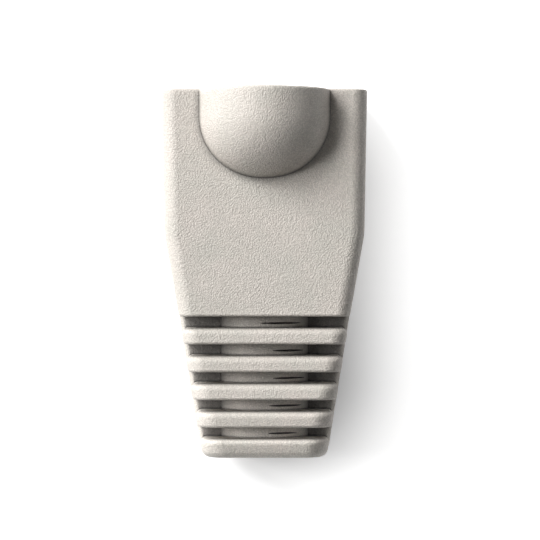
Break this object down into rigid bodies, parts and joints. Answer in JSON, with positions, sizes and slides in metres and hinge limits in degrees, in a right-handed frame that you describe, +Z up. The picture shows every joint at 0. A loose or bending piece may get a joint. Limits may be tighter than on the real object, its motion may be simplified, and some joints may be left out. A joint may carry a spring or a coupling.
{
  "type": "modular plug strain relief boot",
  "caption": "One-piece soft boot for a modular network plug: a box-shaped sleeve with a domed latch hood, tapering into a ribbed, slotted tail round a through bore for the cable.",
  "frame": {"origin": "middle of the footprint in X and Y, on the plane that the flat underside rests on", "axes": "+Y towards the mouth that takes the plug, +Z up through the latch hood, +X across to the right; the cable leaves along -Y"},
  "size_m": [0.0148, 0.0266, 0.0142],
  "materials": {
    "soft_pvc": "warm light grey soft PVC with a fine spark-eroded grain"
  },
  "bodies": {
    "root": {"boot": "soft_pvc"}
  },
  "joints": []
}
